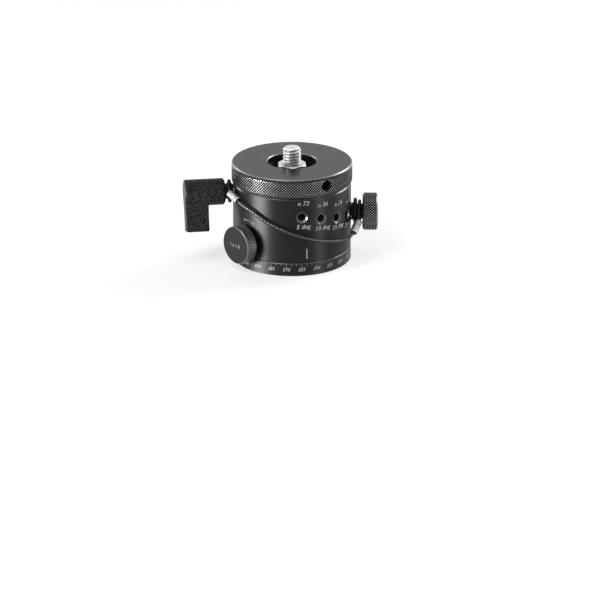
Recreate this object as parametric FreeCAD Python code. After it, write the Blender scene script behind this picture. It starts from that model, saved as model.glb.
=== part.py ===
"""Panoramic tripod head: a click-stop housing that pans on a base, and a turntable that pans on the housing.

Millimetres and degrees. +Z is the pan axis, pointing up, and the origin is the centre of the base's
bottom face. An azimuth is measured from -Y towards +X, so azimuth 90 is +X. Radial pieces, such as knobs
and screws, are turned about their own axis with their lengths counted outwards from the pan axis.
"""

import FreeCAD, Part
import math
import os

# ---------------------------------------------------------------- clearances
ASSEMBLY_GAP = 0.05  # radial, between pieces that are fixed together
RUNNING_GAP = 0.08  # radial, between a journal and its bore
TURNING_GAP = 0.3  # between pieces that move past each other
RUBBING_GAP = 0.05  # from a brake shoe to what it grips
SLIDE_WASHER_THICKNESS = 0.3
EDGE = 0.4  # chamfer on turned edges
CUT_OVERSHOOT = 1.0  # how far a cutting tool runs past the faces that it opens

# ---------------------------------------------------------------- base
BODY_RADIUS = 31.0  # of the base and the housing, which are flush
BASE_HEIGHT = 7.05
BASE_FLANGE_HEIGHT = 1.2
SCALE_RING_WIDTH = 4.0

# ---------------------------------------------------------------- 3/8"-16 tripod thread, stud and lock nut
TRIPOD_THREAD_RADIUS = 9.525 / 2
HELD_THREAD_RADIUS = 4.6  # the stud inside the hub and nut, between the thread's pitch and major radii
STUD_PROJECTION = 7.45
STUD_CHAMFER = 1.0
STUD_DIMPLE_RADIUS = 1.4
STUD_DIMPLE_DEPTH = 0.7
NUT_ACROSS_FLATS = 14.29
NUT_HEIGHT = 5.6
NUT_FACE_SHARE = 0.97  # diameter of the nut's chamfered face over its width across flats
NUT_LEAD = 0.5  # chamfer of the nut's bore
NUT_TURN = 4.0
NUT_WASHER_RADIUS = 9.5
NUT_WASHER_THICKNESS = 1.2
BUSH_RADIUS = 7.0
BUSH_FLANGE_WIDTH = 2.0
BUSH_FLANGE_THICKNESS = 1.8

# ---------------------------------------------------------------- screws from the base plate into the drum
BASE_SCREW_COUNT = 4
BASE_SCREW_FIRST_AZIMUTH = 45.0
BASE_SCREW_RADIUS = 2.0
BASE_SCREW_HEAD_RADIUS = 3.7
BASE_SCREW_SINK = 0.3
BASE_SCREW_GRIP = 7.0
BASE_SCREW_SOCKET_WIDTH = 2.5
BASE_SCREW_SOCKET_DEPTH = 1.6
BASE_SCREW_SPACE = 0.8  # from the bush's flange to a screw's head
BASE_BOSS_WALL = 0.5  # outside the screws

# ---------------------------------------------------------------- housing
HOUSING_HEIGHT = 35.15
HOUSING_WALL = 8.5
HOUSING_LIP_THICKNESS = 2.8
HOUSING_TOP_CHAMFER = 0.7

# ---------------------------------------------------------------- index drum and its holes
DRUM_CAVITY_GAP = 0.5
DRUM_SPIGOT_RADIUS = 10.0
DRUM_SPIGOT_HEIGHT = 1.5
DRUM_HOLLOW_RADIUS = 7.5
DRUM_HOLLOW_DEPTH = 15.0
DRUM_LAND = 1.0  # from the drum's top to the middle of its top row
INDEX_COUNTS = (72, 36, 24, 18, 12, 10, 6, 4)
INDEX_ROW_PITCH = 1.8
INDEX_FIRST_AZIMUTH = 10.0
INDEX_HOLE_STEP = 20.0
INDEX_THREAD_RADIUS = 2.5
INDEX_COUNTERSINK = 0.75
DIMPLE_RADIUS = 0.75
DIMPLE_TOOL_RISE = 0.1  # how far a dimple's tool stands out of the drum

# ---------------------------------------------------------------- index plunger
PLUNGER_HOLE = 4  # which index hole it is screwed into
PLUNGER_COLLAR_RADIUS = 4.6
PLUNGER_COLLAR_LENGTH = 1.1
PLUNGER_FLANGE_RADIUS = 7.1
PLUNGER_FLANGE_THICKNESS = 2.1
PLUNGER_NECK_LENGTH = 2.9
PLUNGER_KNOB_LENGTH = 7.9
PLUNGER_KNOB_RADIUS = 9.8
PLUNGER_KNOB_CHAMFER = 0.8
PLUNGER_SHANK_LENGTH = 3.85
PLUNGER_NOSE_SPACE = 1.0  # from the drum to the nose
PLUNGER_LIP_LENGTH = 2.0
TIP_RADIUS = 0.9
TIP_SHOULDER = 0.6
TIP_HEAD_LENGTH = 1.2
SPRING_WIRE = 0.4
SPRING_LENGTH = 8.75
SPRING_SEAT_LENGTH = 1.5

# ---------------------------------------------------------------- housing lock
LOCK_AZIMUTH = -48.0
LOCK_RISE = 7.9  # over the housing's bottom
LOCK_KNOB_RADIUS = 10.0
LOCK_KNOB_STANDOFF = 1.8
LOCK_KNOB_LENGTH = 6.4
LOCK_KNOB_CHAMFER = 0.5
LOCK_HUB_RADIUS = 5.0
LOCK_SCREW_GRIP = 3.2  # in the knob
CLAMP_THREAD_RADIUS = 3.0
CLAMP_SCREW_POINT = 0.7
SHOE_LENGTH = 3.4
SHOE_NOSE_RADIUS = 2.1
SHOE_NOSE_LENGTH = 0.8

# ---------------------------------------------------------------- turntable
DECK_THICKNESS = 1.5
DECK_LEDGE = 1.8
HUB_FLANGE_THICKNESS = 4.7
HUB_FLANGE_WIDTH = 6.0
RETAINING_RING_THICKNESS = 1.9
RETAINING_RING_SINK = 0.1
SPANNER_HOLE_RADIUS = 1.0
DISC_OVERHANG = 0.64
DISC_HEIGHT = 10.25
DISC_GAP = 0.35
DISC_TOP_CHAMFER = 1.0
DISC_WEB = 3.1  # thickness of the disc over the hub's neck
RECESS_RADIUS = 12.8
RECESS_DEPTH = 8.2
RECESS_CHAMFER = 0.6
HUB_WELL_SET_BACK = 0.4
RIM_HOLE_AZIMUTH = 35.0
RIM_HOLE_RISE = 5.15
RIM_HOLE_CHAMFER = 0.6
RIM_SCREW_RADIUS = 2.5
RIM_SCREW_LENGTH = 8.0
RIM_SCREW_POINT = 0.8
RIM_SCREW_SOCKET_WIDTH = 2.5
RIM_SCREW_SOCKET_DEPTH = 2.5

# ---------------------------------------------------------------- clamp lever
NECK_RADIUS = 4.1  # of the lever and of the plunger, where the tether's loops go round
CLAMP_RISE = 2.5  # of the lever's axis over the hub's bottom
LEVER_AZIMUTH = -81.0
LEVER_SWING = 15.0  # of the arm from straight down, towards -Y
LEVER_STANDOFF = 4.7
LEVER_HUB_LENGTH = 21.3
LEVER_HUB_RADIUS = 7.0
LEVER_ARM_WIDTH = 12.4
LEVER_ARM_REACH = 20.4
LEVER_ARM_WAIST = 3.6  # half thickness of the scooped stretch
LEVER_ARM_WAIST_REACH = 12.9
LEVER_ARM_TIP = 4.3  # half thickness at the end
LEVER_ARM_ROOT_ANGLE = 10.0  # below the hub's middle
LEVER_EDGE = 0.9
LEVER_SHANK_RADIUS = 4.0
LEVER_SHANK_LENGTH = 13.0
LEVER_STUD_GRIP = 11.0  # in the insert's shank

# ---------------------------------------------------------------- tether
CABLE_DIAMETER = 1.8
LOOP_GAP = 0.3
FERRULE_WIDTH = 3.9
FERRULE_THICKNESS = 3.2
FERRULE_LENGTH = 7.0
LEVER_LOOP_STANDOFF = 2.1
LEVER_LOOP_TILT = 12.0
PLUNGER_LOOP_SPACE = 1.3  # from the flange to the loop's middle
BEND_SHARE = 0.45
TETHER_ROUTE = (
    (-28.4, -17.4, 37.5),
    (-27.1, -19.3, 37.0),
    (-24.9, -22.7, 36.0),
    (-19.6, -26.9, 33.7),
    (-12.3, -31.0, 29.3),
    (-3.0, -33.1, 25.3),
    (6.7, -32.5, 21.8),
    (15.6, -29.1, 18.8),
    (22.6, -24.1, 17.0),
    (27.9, -19.5, 16.2),
    (31.4, -16.2, 17.3),
    (32.6, -13.4, 19.0),
)

# ---------------------------------------------------------------- heights that follow
HOUSING_BOTTOM = BASE_HEIGHT + SLIDE_WASHER_THICKNESS
HOUSING_TOP = HOUSING_BOTTOM + HOUSING_HEIGHT
LIP_TOP = HOUSING_BOTTOM + HOUSING_LIP_THICKNESS
DRUM_BOTTOM = LIP_TOP + SLIDE_WASHER_THICKNESS
RETAINING_RING_TOP = HOUSING_TOP - RETAINING_RING_SINK
RETAINING_RING_BOTTOM = RETAINING_RING_TOP - RETAINING_RING_THICKNESS
HUB_FLANGE_TOP = RETAINING_RING_BOTTOM - SLIDE_WASHER_THICKNESS
HUB_BOTTOM = HUB_FLANGE_TOP - HUB_FLANGE_THICKNESS
DECK_TOP = HUB_BOTTOM - SLIDE_WASHER_THICKNESS
DECK_BOTTOM = DECK_TOP - DECK_THICKNESS
DRUM_TOP = DECK_BOTTOM - TURNING_GAP
INDEX_TOP_ROW_HEIGHT = DRUM_TOP - DRUM_LAND
LOCK_HEIGHT = HOUSING_BOTTOM + LOCK_RISE
LEVER_HEIGHT = HUB_BOTTOM + CLAMP_RISE
PLUNGER_HEIGHT = INDEX_TOP_ROW_HEIGHT - INDEX_ROW_PITCH * PLUNGER_HOLE
PLUNGER_AZIMUTH = INDEX_FIRST_AZIMUTH + INDEX_HOLE_STEP * PLUNGER_HOLE
DISC_BOTTOM = HOUSING_TOP + DISC_GAP
DISC_TOP = DISC_BOTTOM + DISC_HEIGHT
HUB_TOP = DISC_TOP - DISC_WEB
RIM_HOLE_HEIGHT = DISC_BOTTOM + RIM_HOLE_RISE
RECESS_FLOOR = DISC_TOP - RECESS_DEPTH
NUT_BOTTOM = RECESS_FLOOR + NUT_WASHER_THICKNESS
NUT_TOP = NUT_BOTTOM + NUT_HEIGHT
STUD_TOP = DISC_TOP + STUD_PROJECTION

# ---------------------------------------------------------------- radii and distances that follow
BUSH_FLANGE_RADIUS = BUSH_RADIUS + BUSH_FLANGE_WIDTH
BASE_SCREW_PITCH_RADIUS = BUSH_FLANGE_RADIUS + BASE_SCREW_SPACE + BASE_SCREW_HEAD_RADIUS
BASE_BOSS_RADIUS = BASE_SCREW_PITCH_RADIUS + BASE_SCREW_RADIUS + BASE_BOSS_WALL
DRUM_CAVITY_RADIUS = BODY_RADIUS - HOUSING_WALL
DRUM_RADIUS = DRUM_CAVITY_RADIUS - DRUM_CAVITY_GAP
DECK_CAVITY_RADIUS = DRUM_CAVITY_RADIUS + DECK_LEDGE
HUB_RADIUS = DECK_CAVITY_RADIUS - TURNING_GAP
HUB_NECK_RADIUS = HUB_RADIUS - HUB_FLANGE_WIDTH
HUB_WELL_RADIUS = RECESS_RADIUS + HUB_WELL_SET_BACK
DISC_RADIUS = BODY_RADIUS + DISC_OVERHANG
TIP_HEAD_RADIUS = TIP_RADIUS + TIP_SHOULDER
PLUNGER_NOSE_START = DRUM_RADIUS + PLUNGER_NOSE_SPACE
TIP_HEAD_START = PLUNGER_NOSE_START + PLUNGER_LIP_LENGTH + ASSEMBLY_GAP
SPRING_START = TIP_HEAD_START + TIP_HEAD_LENGTH
SPRING_SEAT_START = SPRING_START + SPRING_LENGTH
PLUNGER_FLANGE_START = BODY_RADIUS + PLUNGER_COLLAR_LENGTH
PLUNGER_FLANGE_END = PLUNGER_FLANGE_START + PLUNGER_FLANGE_THICKNESS
PLUNGER_KNOB_START = PLUNGER_FLANGE_END + PLUNGER_NECK_LENGTH
PLUNGER_SHANK_END = PLUNGER_KNOB_START + PLUNGER_SHANK_LENGTH
PLUNGER_LOOP_DISTANCE = PLUNGER_FLANGE_END + PLUNGER_LOOP_SPACE
LOCK_KNOB_START = BODY_RADIUS + LOCK_KNOB_STANDOFF
LOCK_SCREW_END = LOCK_KNOB_START + LOCK_SCREW_GRIP
LEVER_HUB_START = BODY_RADIUS + LEVER_STANDOFF
LEVER_HUB_END = LEVER_HUB_START + LEVER_HUB_LENGTH
LEVER_STUD_END = LEVER_HUB_START + LEVER_STUD_GRIP
LEVER_LOOP_DISTANCE = BODY_RADIUS + LEVER_LOOP_STANDOFF
LOOP_RADIUS = NECK_RADIUS + LOOP_GAP + CABLE_DIAMETER / 2

SIX_ANGLES = [math.radians(30 + 60 * k) for k in range(6)]
UP = FreeCAD.Vector(0, 0, 1)
ORIGIN = FreeCAD.Vector(0, 0, 0)


# ---------------------------------------------------------------- shared shapes
def turned(profile):
    """A solid turned about Z from its half section, given as (radius, height) corners."""
    corners = [FreeCAD.Vector(radius, 0, height) for radius, height in profile]
    return Part.Face(Part.makePolygon(corners + corners[:1])).revolve(ORIGIN, UP, 360)


def ring(inner, outer, bottom, top):
    return turned([(inner, bottom), (outer, bottom), (outer, top), (inner, top)])


def rod(radius, bottom, top):
    return Part.makeCylinder(radius, top - bottom, FreeCAD.Vector(0, 0, bottom))


def countersunk(radius, flare, bottom, mouth):
    """A hole's tool: a rod from bottom to mouth, opening at 45 degrees by the flare."""
    outside = mouth + CUT_OVERSHOOT
    return turned(
        [(0, bottom), (radius, bottom), (radius, mouth - flare), (radius + flare, mouth),
         (radius + flare, outside), (0, outside)]
    )


def pointed_rod(radius, point, bottom, top):
    """A rod with a chamfered lower end."""
    return turned([(0, bottom), (radius - point, bottom), (radius, bottom + point), (radius, top), (0, top)])


def around(shape, angle):
    """A copy of the shape turned about Z."""
    copy = shape.copy()
    copy.rotate(ORIGIN, UP, angle)
    return copy


def pattern(shape, count, first=0.0):
    return Part.makeCompound([around(shape, first + 360 * i / count) for i in range(count)])


def radial(shape, azimuth, height):
    """Lay a shape made about Z along the radius at that azimuth: its Z then points out and its Y up."""
    sine, cosine = math.sin(math.radians(azimuth)), math.cos(math.radians(azimuth))
    matrix = FreeCAD.Matrix(
        cosine, 0, sine, 0,
        sine, 0, -cosine, 0,
        0, 1, 0, height,
        0, 0, 0, 1,
    )
    return shape.transformed(matrix)


# ---------------------------------------------------------------- base
def at_base_screws(shape):
    """Copies of a shape made about Z, one at each screw of the base."""
    moved = shape.copy()
    moved.translate(FreeCAD.Vector(BASE_SCREW_PITCH_RADIUS, 0, 0))
    return pattern(moved, BASE_SCREW_COUNT, BASE_SCREW_FIRST_AZIMUTH)


def base_screw_hole():
    """The hole's tool, its countersink facing down."""
    radius, head = BASE_SCREW_RADIUS + ASSEMBLY_GAP, BASE_SCREW_HEAD_RADIUS + ASSEMBLY_GAP
    top = DRUM_BOTTOM + CUT_OVERSHOOT
    return turned(
        [(0, -CUT_OVERSHOOT), (head, -CUT_OVERSHOOT), (head, BASE_SCREW_SINK),
         (radius, BASE_SCREW_SINK + head - radius), (radius, top), (0, top)]
    )


def base_plate():
    bore, step_radius = BUSH_RADIUS + ASSEMBLY_GAP, BODY_RADIUS - SCALE_RING_WIDTH
    body = turned(
        [(bore, 0), (BODY_RADIUS - EDGE, 0), (BODY_RADIUS, EDGE), (BODY_RADIUS, BASE_FLANGE_HEIGHT),
         (step_radius, BASE_FLANGE_HEIGHT), (step_radius, BASE_HEIGHT), (BASE_BOSS_RADIUS, BASE_HEIGHT),
         (BASE_BOSS_RADIUS, DRUM_BOTTOM), (bore, DRUM_BOTTOM)]
    )
    seat = rod(BUSH_FLANGE_RADIUS + ASSEMBLY_GAP, -CUT_OVERSHOOT, BUSH_FLANGE_THICKNESS)
    return body.cut([seat, at_base_screws(base_screw_hole())])


def scale_ring():
    inner = BODY_RADIUS - SCALE_RING_WIDTH + ASSEMBLY_GAP
    return turned(
        [(inner, BASE_FLANGE_HEIGHT), (BODY_RADIUS, BASE_FLANGE_HEIGHT), (BODY_RADIUS, BASE_HEIGHT - EDGE),
         (BODY_RADIUS - EDGE, BASE_HEIGHT), (inner, BASE_HEIGHT)]
    )


def tripod_bush():
    bore, flange_top = TRIPOD_THREAD_RADIUS, BUSH_FLANGE_THICKNESS
    return turned(
        [(bore, 0), (BUSH_FLANGE_RADIUS, 0), (BUSH_FLANGE_RADIUS, flange_top), (BUSH_RADIUS, flange_top),
         (BUSH_RADIUS, DRUM_BOTTOM), (bore, DRUM_BOTTOM)]
    )


def base_screw():
    """A flat-head screw with its hexagon socket, head down."""
    flare = BASE_SCREW_HEAD_RADIUS - BASE_SCREW_RADIUS
    body = turned(
        [(0, BASE_SCREW_SINK), (BASE_SCREW_HEAD_RADIUS, BASE_SCREW_SINK),
         (BASE_SCREW_RADIUS, BASE_SCREW_SINK + flare), (BASE_SCREW_RADIUS, DRUM_BOTTOM + BASE_SCREW_GRIP),
         (0, DRUM_BOTTOM + BASE_SCREW_GRIP)]
    )
    return body.cut(hexagon(BASE_SCREW_SOCKET_WIDTH, 0, BASE_SCREW_SINK + BASE_SCREW_SOCKET_DEPTH))


def base_screws():
    return at_base_screws(base_screw())


def hexagon(across_flats, bottom, top):
    """A hexagonal prism with a flat facing +X."""
    corner = across_flats / 2 / math.cos(math.radians(30))
    points = [FreeCAD.Vector(corner * math.cos(a), corner * math.sin(a), bottom) for a in SIX_ANGLES]
    return Part.Face(Part.makePolygon(points + points[:1])).extrude(FreeCAD.Vector(0, 0, top - bottom))


# ---------------------------------------------------------------- index drum
def row_height(row):
    return INDEX_TOP_ROW_HEIGHT - INDEX_ROW_PITCH * row


def hole_azimuth(row):
    return INDEX_FIRST_AZIMUTH + INDEX_HOLE_STEP * row


def dimple(row):
    """A drilled cone in the row that the plunger is in, and a six-sided one in the rows that wait."""
    radius = DIMPLE_RADIUS + DIMPLE_TOOL_RISE
    apex = FreeCAD.Vector(0, 0, DRUM_RADIUS - DIMPLE_RADIUS)
    if row == PLUNGER_HOLE:
        return Part.makeCone(0, radius, radius, apex)
    rim = [apex + FreeCAD.Vector(radius * math.cos(a), radius * math.sin(a), radius) for a in SIX_ANGLES]
    sides = [[apex, rim[k - 1], rim[k]] for k in range(len(rim))]
    faces = [Part.Face(Part.makePolygon(side + side[:1])) for side in sides + [rim]]
    return Part.Solid(Part.Shell(faces))


def dimple_row(row):
    """The row's dimples, one of them straight behind the row's hole."""
    return pattern(radial(dimple(row), hole_azimuth(row), row_height(row)), INDEX_COUNTS[row])


def index_drum():
    body = turned(
        [(DRUM_HOLLOW_RADIUS, DRUM_BOTTOM), (DRUM_RADIUS, DRUM_BOTTOM), (DRUM_RADIUS, DRUM_TOP),
         (DRUM_SPIGOT_RADIUS, DRUM_TOP), (DRUM_SPIGOT_RADIUS, DRUM_TOP + DRUM_SPIGOT_HEIGHT),
         (0, DRUM_TOP + DRUM_SPIGOT_HEIGHT), (0, DRUM_BOTTOM + DRUM_HOLLOW_DEPTH),
         (DRUM_HOLLOW_RADIUS, DRUM_BOTTOM + DRUM_HOLLOW_DEPTH)]
    )
    tap_bottom, tap_top = DRUM_BOTTOM - CUT_OVERSHOOT, DRUM_BOTTOM + BASE_SCREW_GRIP + CUT_OVERSHOOT
    tap = rod(BASE_SCREW_RADIUS + ASSEMBLY_GAP, tap_bottom, tap_top)
    dimples = [dimple_row(row) for row in range(len(INDEX_COUNTS))]
    return body.cut([at_base_screws(tap)] + dimples)


def lower_slide_washer():
    return ring(BASE_BOSS_RADIUS + TURNING_GAP, BODY_RADIUS - SCALE_RING_WIDTH, BASE_HEIGHT, HOUSING_BOTTOM)


def upper_slide_washer():
    return ring(BASE_BOSS_RADIUS + TURNING_GAP, DRUM_RADIUS - TURNING_GAP, LIP_TOP, DRUM_BOTTOM)


# ---------------------------------------------------------------- housing
def index_hole(row):
    inside = DRUM_CAVITY_RADIUS - CUT_OVERSHOOT
    tool = countersunk(INDEX_THREAD_RADIUS, INDEX_COUNTERSINK, inside, BODY_RADIUS)
    return radial(tool, hole_azimuth(row), row_height(row))


def clamp_hole(azimuth, height):
    inside, outside = DRUM_CAVITY_RADIUS - CUT_OVERSHOOT, BODY_RADIUS + CUT_OVERSHOOT
    tool = rod(CLAMP_THREAD_RADIUS + ASSEMBLY_GAP, inside, outside)
    return radial(tool, azimuth, height)


def housing():
    body = turned(
        [(BASE_BOSS_RADIUS + RUNNING_GAP, HOUSING_BOTTOM), (BODY_RADIUS - EDGE, HOUSING_BOTTOM),
         (BODY_RADIUS, HOUSING_BOTTOM + EDGE), (BODY_RADIUS, HOUSING_TOP - HOUSING_TOP_CHAMFER),
         (BODY_RADIUS - HOUSING_TOP_CHAMFER, HOUSING_TOP), (DECK_CAVITY_RADIUS, HOUSING_TOP),
         (DECK_CAVITY_RADIUS, DECK_BOTTOM), (DRUM_CAVITY_RADIUS, DECK_BOTTOM), (DRUM_CAVITY_RADIUS, LIP_TOP),
         (BASE_BOSS_RADIUS + RUNNING_GAP, LIP_TOP)]
    )
    holes = [index_hole(row) for row in range(len(INDEX_COUNTS))]
    holes += [clamp_hole(LOCK_AZIMUTH, LOCK_HEIGHT), clamp_hole(LEVER_AZIMUTH, LEVER_HEIGHT)]
    return body.cut(holes)


def ring_with_spanner_holes(inner, outer, bottom, top):
    hole = rod(SPANNER_HOLE_RADIUS, bottom - CUT_OVERSHOOT, top + CUT_OVERSHOOT)
    hole.translate(FreeCAD.Vector((inner + outer) / 2, 0, 0))
    return ring(inner, outer, bottom, top).cut(pattern(hole, 2))


def bearing_deck():
    inner, outer = DRUM_SPIGOT_RADIUS + RUNNING_GAP, DECK_CAVITY_RADIUS - ASSEMBLY_GAP
    return ring_with_spanner_holes(inner, outer, DECK_BOTTOM, DECK_TOP)


def retaining_ring():
    inner, outer = HUB_NECK_RADIUS + TURNING_GAP, DECK_CAVITY_RADIUS - ASSEMBLY_GAP
    return ring_with_spanner_holes(inner, outer, RETAINING_RING_BOTTOM, RETAINING_RING_TOP)


# ---------------------------------------------------------------- turntable
def turntable_washer_low():
    return ring(DRUM_SPIGOT_RADIUS + TURNING_GAP, HUB_RADIUS - TURNING_GAP, DECK_TOP, HUB_BOTTOM)


def turntable_washer_high():
    inner, outer = HUB_NECK_RADIUS + TURNING_GAP, HUB_RADIUS - TURNING_GAP
    return ring(inner, outer, HUB_FLANGE_TOP, RETAINING_RING_BOTTOM)


def turntable_hub():
    """The flange that turns in the housing, its neck that carries the disc, and a well for the nut."""
    bore = HELD_THREAD_RADIUS + ASSEMBLY_GAP
    return turned(
        [(bore, HUB_BOTTOM), (HUB_RADIUS - EDGE, HUB_BOTTOM), (HUB_RADIUS, HUB_BOTTOM + EDGE),
         (HUB_RADIUS, HUB_FLANGE_TOP - EDGE), (HUB_RADIUS - EDGE, HUB_FLANGE_TOP),
         (HUB_NECK_RADIUS, HUB_FLANGE_TOP), (HUB_NECK_RADIUS, HUB_TOP), (HUB_WELL_RADIUS, HUB_TOP),
         (HUB_WELL_RADIUS, RECESS_FLOOR), (bore, RECESS_FLOOR)]
    )


def top_disc():
    socket = HUB_NECK_RADIUS + ASSEMBLY_GAP
    body = turned(
        [(socket, DISC_BOTTOM), (DISC_RADIUS - EDGE, DISC_BOTTOM), (DISC_RADIUS, DISC_BOTTOM + EDGE),
         (DISC_RADIUS, DISC_TOP - DISC_TOP_CHAMFER), (DISC_RADIUS - DISC_TOP_CHAMFER, DISC_TOP),
         (RECESS_RADIUS + RECESS_CHAMFER, DISC_TOP), (RECESS_RADIUS, DISC_TOP - RECESS_CHAMFER),
         (RECESS_RADIUS, HUB_TOP), (socket, HUB_TOP)]
    )
    inside = HUB_NECK_RADIUS - CUT_OVERSHOOT
    hole = countersunk(RIM_SCREW_RADIUS + ASSEMBLY_GAP, RIM_HOLE_CHAMFER, inside, DISC_RADIUS)
    return body.cut(radial(hole, RIM_HOLE_AZIMUTH, RIM_HOLE_HEIGHT))


def rim_set_screw():
    """The grub screw that holds the disc on the hub's neck."""
    start = HUB_NECK_RADIUS + ASSEMBLY_GAP
    end = start + RIM_SCREW_LENGTH
    body = pointed_rod(RIM_SCREW_RADIUS, RIM_SCREW_POINT, start, end)
    socket = hexagon(RIM_SCREW_SOCKET_WIDTH, end - RIM_SCREW_SOCKET_DEPTH, end)
    return radial(body.cut(socket), RIM_HOLE_AZIMUTH, RIM_HOLE_HEIGHT)


def nut_washer():
    return ring(TRIPOD_THREAD_RADIUS, NUT_WASHER_RADIUS, RECESS_FLOOR, NUT_BOTTOM)


def stud_nut():
    """A hexagonal lock nut with both faces chamfered at 30 degrees."""
    face_radius = NUT_ACROSS_FLATS / 2 * NUT_FACE_SHARE
    corner_radius = NUT_ACROSS_FLATS / 2 / math.cos(math.radians(30)) + EDGE
    drop = (corner_radius - face_radius) * math.tan(math.radians(30))
    bore = HELD_THREAD_RADIUS + ASSEMBLY_GAP
    limits = turned(
        [(bore + NUT_LEAD, NUT_BOTTOM), (face_radius, NUT_BOTTOM), (corner_radius, NUT_BOTTOM + drop),
         (corner_radius, NUT_TOP - drop), (face_radius, NUT_TOP), (bore + NUT_LEAD, NUT_TOP),
         (bore, NUT_TOP - NUT_LEAD), (bore, NUT_BOTTOM + NUT_LEAD)]
    )
    return around(hexagon(NUT_ACROSS_FLATS, NUT_BOTTOM, NUT_TOP).common(limits), NUT_TURN)


def stud():
    """The 3/8"-16 stud: its free length over the lock nut, and the length held in the nut and the hub."""
    free, held = TRIPOD_THREAD_RADIUS, HELD_THREAD_RADIUS
    bottom, held_top = HUB_BOTTOM + ASSEMBLY_GAP, NUT_TOP + ASSEMBLY_GAP
    return turned(
        [(0, bottom), (held - STUD_CHAMFER, bottom), (held, bottom + STUD_CHAMFER), (held, held_top),
         (free, held_top), (free, STUD_TOP - STUD_CHAMFER), (free - STUD_CHAMFER, STUD_TOP),
         (STUD_DIMPLE_RADIUS, STUD_TOP), (0, STUD_TOP - STUD_DIMPLE_DEPTH)]
    )


# ---------------------------------------------------------------- brake shoes, lock knob and lever
def shoe(rim_radius, azimuth, height):
    """A plug in a clamp hole, its narrower inner end hollowed to the round rim that it grips."""
    start, radius = rim_radius + RUBBING_GAP, CLAMP_THREAD_RADIUS - ASSEMBLY_GAP
    nose_end, end = start + SHOE_NOSE_LENGTH, start + SHOE_LENGTH
    plug = rod(SHOE_NOSE_RADIUS, rim_radius - CUT_OVERSHOOT, nose_end).fuse(rod(radius, nose_end, end))
    return radial(plug, azimuth, height).cut(rod(start, 0, DISC_TOP))


def pushing_screw(rim_radius, end, azimuth, height):
    """The screw that pushes the shoe, from the shoe's back to its end in the knob or lever."""
    start = rim_radius + RUBBING_GAP + SHOE_LENGTH + ASSEMBLY_GAP
    body = pointed_rod(CLAMP_THREAD_RADIUS - ASSEMBLY_GAP, CLAMP_SCREW_POINT, start, end)
    return radial(body, azimuth, height)


def lock_knob():
    start, end = BODY_RADIUS + TURNING_GAP, LOCK_KNOB_START + LOCK_KNOB_LENGTH
    bore, depth, chamfer = CLAMP_THREAD_RADIUS, LOCK_SCREW_END + ASSEMBLY_GAP, LOCK_KNOB_CHAMFER
    body = turned(
        [(bore, start), (LOCK_HUB_RADIUS, start),
         (LOCK_HUB_RADIUS, LOCK_KNOB_START), (LOCK_KNOB_RADIUS - chamfer, LOCK_KNOB_START),
         (LOCK_KNOB_RADIUS, LOCK_KNOB_START + chamfer), (LOCK_KNOB_RADIUS, end - chamfer),
         (LOCK_KNOB_RADIUS - chamfer, end), (0, end), (0, depth), (bore, depth)]
    )
    return radial(body, LOCK_AZIMUTH, LOCK_HEIGHT)


def lock_screw():
    return pushing_screw(DRUM_RADIUS, LOCK_SCREW_END, LOCK_AZIMUTH, LOCK_HEIGHT)


def lever_stud():
    return pushing_screw(HUB_RADIUS, LEVER_STUD_END, LEVER_AZIMUTH, LEVER_HEIGHT)


def lever_insert():
    """The metal neck that carries the stud, with a shank inside the handle's hub."""
    bore, stud_end = CLAMP_THREAD_RADIUS, LEVER_STUD_END + ASSEMBLY_GAP
    start, shank_end = BODY_RADIUS + TURNING_GAP, LEVER_HUB_START + LEVER_SHANK_LENGTH
    body = turned(
        [(bore, start), (NECK_RADIUS - EDGE, start), (NECK_RADIUS, start + EDGE),
         (NECK_RADIUS, LEVER_HUB_START), (LEVER_SHANK_RADIUS, LEVER_HUB_START),
         (LEVER_SHANK_RADIUS, shank_end), (0, shank_end), (0, stud_end), (bore, stud_end)]
    )
    return radial(body, LEVER_AZIMUTH, LEVER_HEIGHT)


def lever_arm_outline():
    """The arm seen along the hub, pointing to -Y: scooped to a waist, and fuller at the end."""
    root_angle = math.radians(LEVER_ARM_ROOT_ANGLE)
    root_y = -LEVER_HUB_RADIUS * math.sin(root_angle)
    root_x = LEVER_HUB_RADIUS * math.cos(root_angle)
    corners = {}
    for side in (1, -1):
        corners[side] = (
            FreeCAD.Vector(side * root_x, root_y, 0),
            FreeCAD.Vector(side * LEVER_ARM_WAIST, -LEVER_ARM_WAIST_REACH, 0),
            FreeCAD.Vector(side * LEVER_ARM_TIP, -LEVER_ARM_REACH, 0),
        )
    edges = [
        Part.Arc(*corners[1]).toShape(),
        Part.LineSegment(corners[1][2], corners[-1][2]).toShape(),
        Part.Arc(*reversed(corners[-1])).toShape(),
        Part.Arc(corners[-1][0], FreeCAD.Vector(0, LEVER_HUB_RADIUS, 0), corners[1][0]).toShape(),
    ]
    return Part.Wire(edges)


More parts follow.
